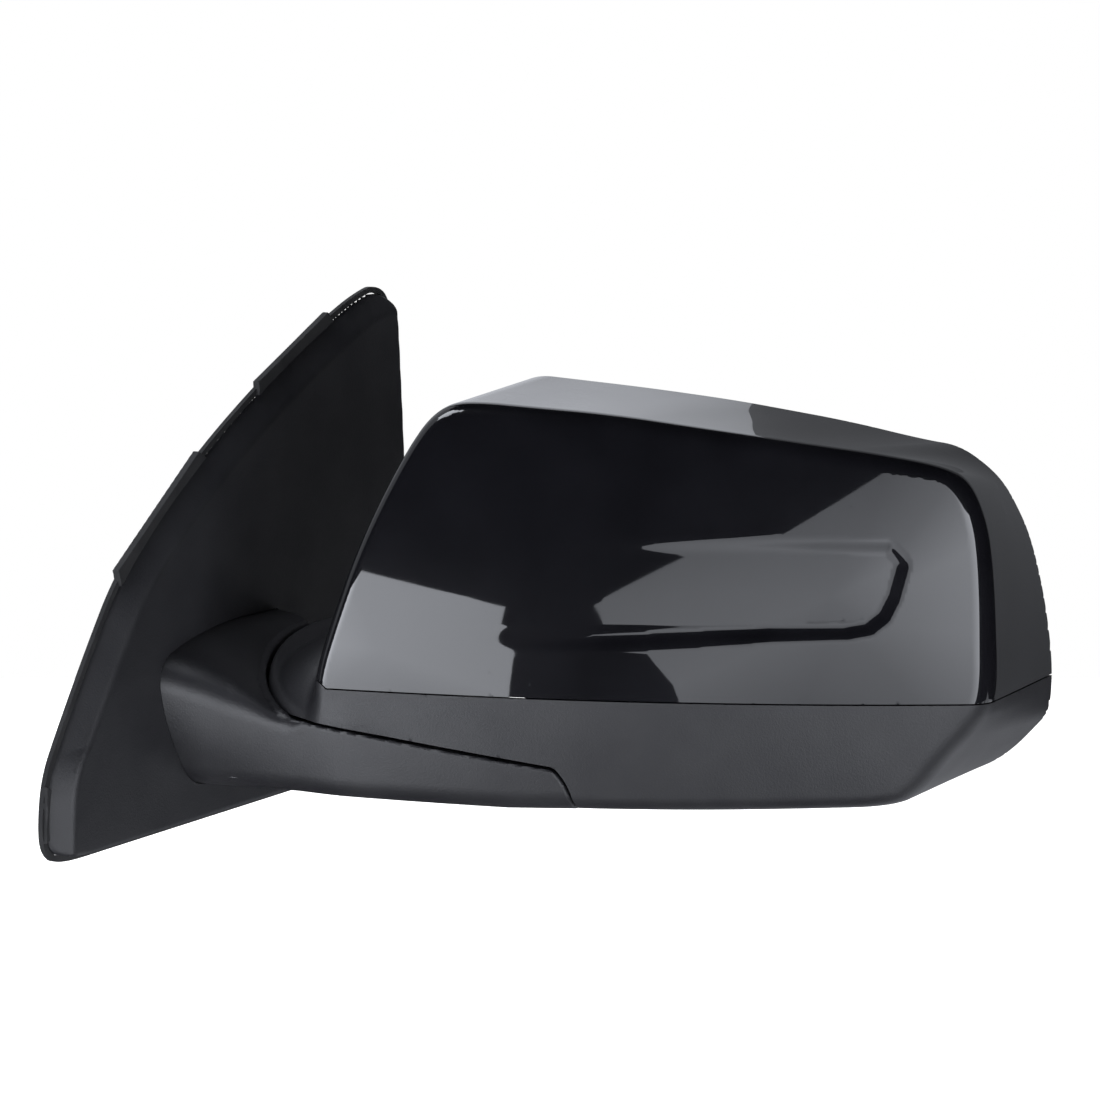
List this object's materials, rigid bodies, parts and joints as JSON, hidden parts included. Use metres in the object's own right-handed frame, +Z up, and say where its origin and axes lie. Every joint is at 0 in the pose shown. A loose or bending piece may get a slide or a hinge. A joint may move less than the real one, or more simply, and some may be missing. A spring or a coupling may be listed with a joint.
{
  "type": "car side mirror",
  "caption": "Left-hand door mirror: sail base with arm, folding head under a gloss cap, and a tilting glass on a motor drive.",
  "frame": {"origin": "centre of the three mounting studs, on the face that meets the door", "axes": "+X away from the door, +Y towards the rear of the car, +Z up"},
  "size_m": [0.3048, 0.2912, 0.2005],
  "materials": {
    "painted_cap": "high gloss black",
    "textured_plastic": "fine-grained matte black",
    "inner_plastic": "satin",
    "natural_plastic": "satin",
    "seal_rubber": "matte",
    "die_casting": "as cast",
    "bright_steel": "zinc plated",
    "dark_steel": "black oxide",
    "brass": "turned",
    "glass_holder": "satin",
    "heater": "foil",
    "mirror": "first-surface silver"
  },
  "bodies": {
    "base": {"mounting_bracket": "die_casting", "mounting_studs": "bright_steel", "pivot_post": "bright_steel", "detent_ring_lower": "dark_steel", "thrust_washer": "brass", "pivot_spring": "dark_steel", "spring_retainer": "bright_steel", "sail_cover": "textured_plastic", "edge_seal": "seal_rubber", "arm_cover": "textured_plastic", "arm_bottom_plate": "inner_plastic", "harness_grommet": "seal_rubber", "bracket_screws": "dark_steel"},
    "head": {"skull_cap": "painted_cap", "lower_cover": "textured_plastic", "rear_bezel": "inner_plastic", "head_frame": "inner_plastic", "pivot_bush": "natural_plastic", "detent_ring_upper": "dark_steel", "actuator_housing": "inner_plastic", "actuator_cover": "inner_plastic", "motor_vertical": "bright_steel", "motor_horizontal": "bright_steel", "actuator_screws": "bright_steel", "bezel_screws": "dark_steel"},
    "worm_v": {"worm_vertical": "brass"},
    "worm_h": {"worm_horizontal": "brass"},
    "gear_v": {"drive_gear_vertical": "natural_plastic"},
    "gear_h": {"drive_gear_horizontal": "natural_plastic"},
    "rod_v": {"push_rod_vertical": "natural_plastic"},
    "rod_h": {"push_rod_horizontal": "natural_plastic"},
    "cross": {"tilt_cross": "natural_plastic"},
    "glass": {"glass_holder": "glass_holder", "heater_pad": "heater", "mirror_glass": "mirror"}
  },
  "joints": [
    {"name": "head_fold", "type": "hinge", "parent": "base", "child": "head", "pos_m": [0.058, -0.025, -0.027], "axis": [0.1504, 0.0868, 0.9848], "range_deg": [-35, 60]},
    {"name": "glass_tilt_vertical", "type": "hinge", "parent": "head", "child": "cross", "pos_m": [0.17817, 0.06286, 0.021], "axis": [0.866, 0.5, 0], "range_deg": [-8, 8]},
    {"name": "glass_tilt_horizontal", "type": "hinge", "parent": "cross", "child": "glass", "pos_m": [0.17817, 0.06286, 0.021], "axis": [0, 0, 1], "range_deg": [-8, 8]},
    {"name": "rod_slide_vertical", "type": "slide", "parent": "head", "child": "rod_v", "axis": [-0.5, 0.866, 0], "range_m": [-0.004, 0.004]},
    {"name": "rod_slide_horizontal", "type": "slide", "parent": "head", "child": "rod_h", "axis": [-0.5, 0.866, 0], "range_m": [-0.004, 0.004]},
    {"name": "gear_spin_vertical", "type": "hinge", "parent": "head", "child": "gear_v", "pos_m": [0.19067, 0.04121, 0.047], "axis": [-0.5, 0.866, 0], "range_deg": [-120, 120]},
    {"name": "gear_spin_horizontal", "type": "hinge", "parent": "head", "child": "gear_h", "pos_m": [0.21319, 0.05421, 0.021], "axis": [-0.5, 0.866, 0], "range_deg": [-120, 120]},
    {"name": "worm_spin_vertical", "type": "hinge", "parent": "head", "child": "worm_v", "pos_m": [0.19067, 0.04121, 0.038], "axis": [0.866, 0.5, 0], "range_deg": [-1200, 1200]},
    {"name": "worm_spin_horizontal", "type": "hinge", "parent": "head", "child": "worm_h", "pos_m": [0.20539, 0.04971, 0.021], "axis": [0, 0, 1], "range_deg": [-1200, 1200]}
  ],
  "couplings": [
    {"joint": "rod_slide_vertical", "follows": "glass_tilt_vertical", "m_per_rad": -0.026},
    {"joint": "rod_slide_horizontal", "follows": "glass_tilt_horizontal", "m_per_rad": 0.026},
    {"joint": "gear_spin_vertical", "follows": "glass_tilt_vertical", "ratio": -13.614},
    {"joint": "gear_spin_horizontal", "follows": "glass_tilt_horizontal", "ratio": 13.614},
    {"joint": "worm_spin_vertical", "follows": "glass_tilt_vertical", "ratio": -136.14},
    {"joint": "worm_spin_horizontal", "follows": "glass_tilt_horizontal", "ratio": 136.14}
  ]
}
